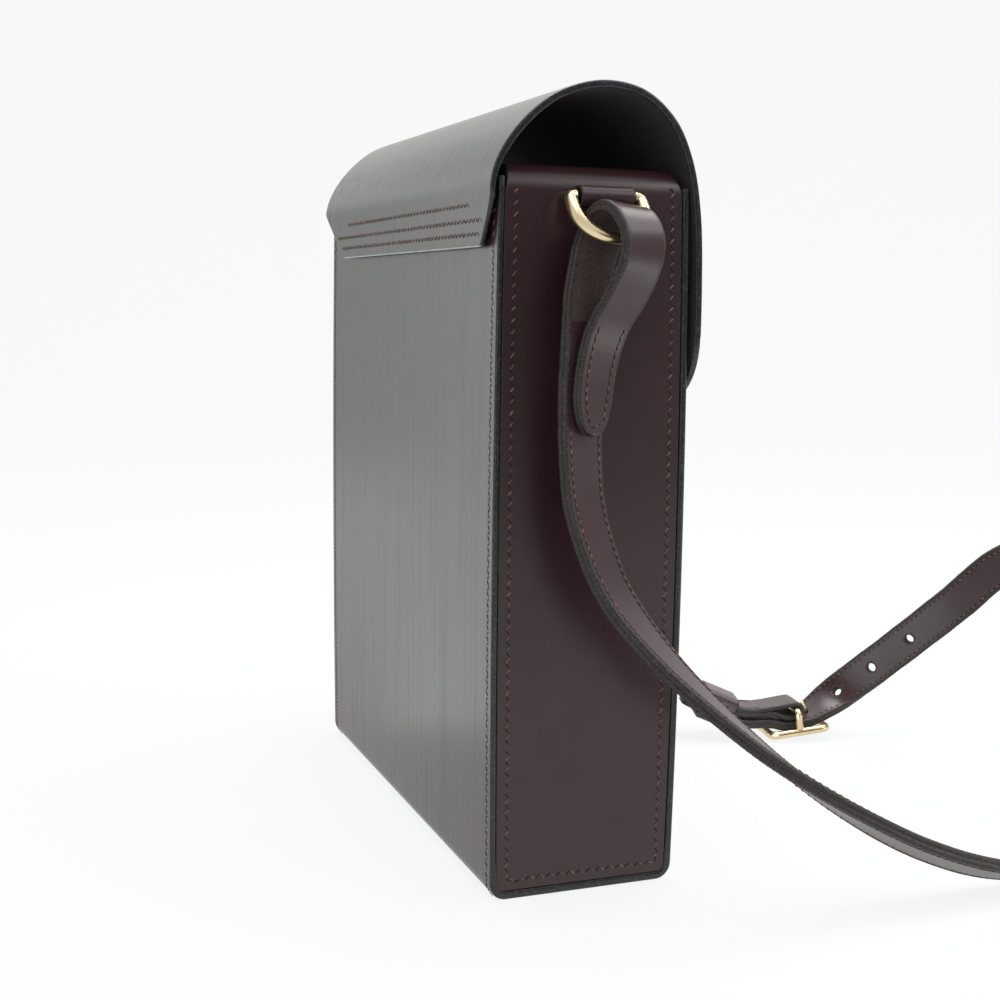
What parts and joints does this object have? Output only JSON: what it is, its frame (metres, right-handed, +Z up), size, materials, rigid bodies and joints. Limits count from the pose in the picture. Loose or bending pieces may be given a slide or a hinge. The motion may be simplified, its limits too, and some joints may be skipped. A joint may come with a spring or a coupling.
{
  "type": "satchel",
  "caption": "Slim upright leather satchel with a wrap-round body, folded gussets, an arched flap and a buckled shoulder strap on brass D-rings.",
  "frame": {"origin": "on the floor under the middle of the bag's own box, the shoulder strap left out", "axes": "+Z up, +X along the bag's width, -Y out of the front where the flap closes"},
  "size_m": [0.3312, 0.3504, 0.3041],
  "materials": {
    "leather_body": "dark brown bridle leather, smooth and glossy",
    "leather_strap": "dark brown strap leather, satin",
    "brass": "satin cast brass"
  },
  "bodies": {
    "root": {"body_wrap": "leather_body", "flap": "leather_body", "gusset_near": "leather_body", "gusset_far": "leather_body", "chape_near": "leather_body", "chape_far": "leather_body", "closing_stud": "brass", "d_ring_near": "brass", "d_ring_far": "brass", "strap_long": "leather_strap", "strap_long_turn": "leather_strap", "strap_short": "leather_strap", "strap_short_turn": "leather_strap", "buckle_frame": "brass", "buckle_prong": "brass", "buckle_loop": "leather_strap", "keeper": "leather_strap"}
  },
  "joints": []
}
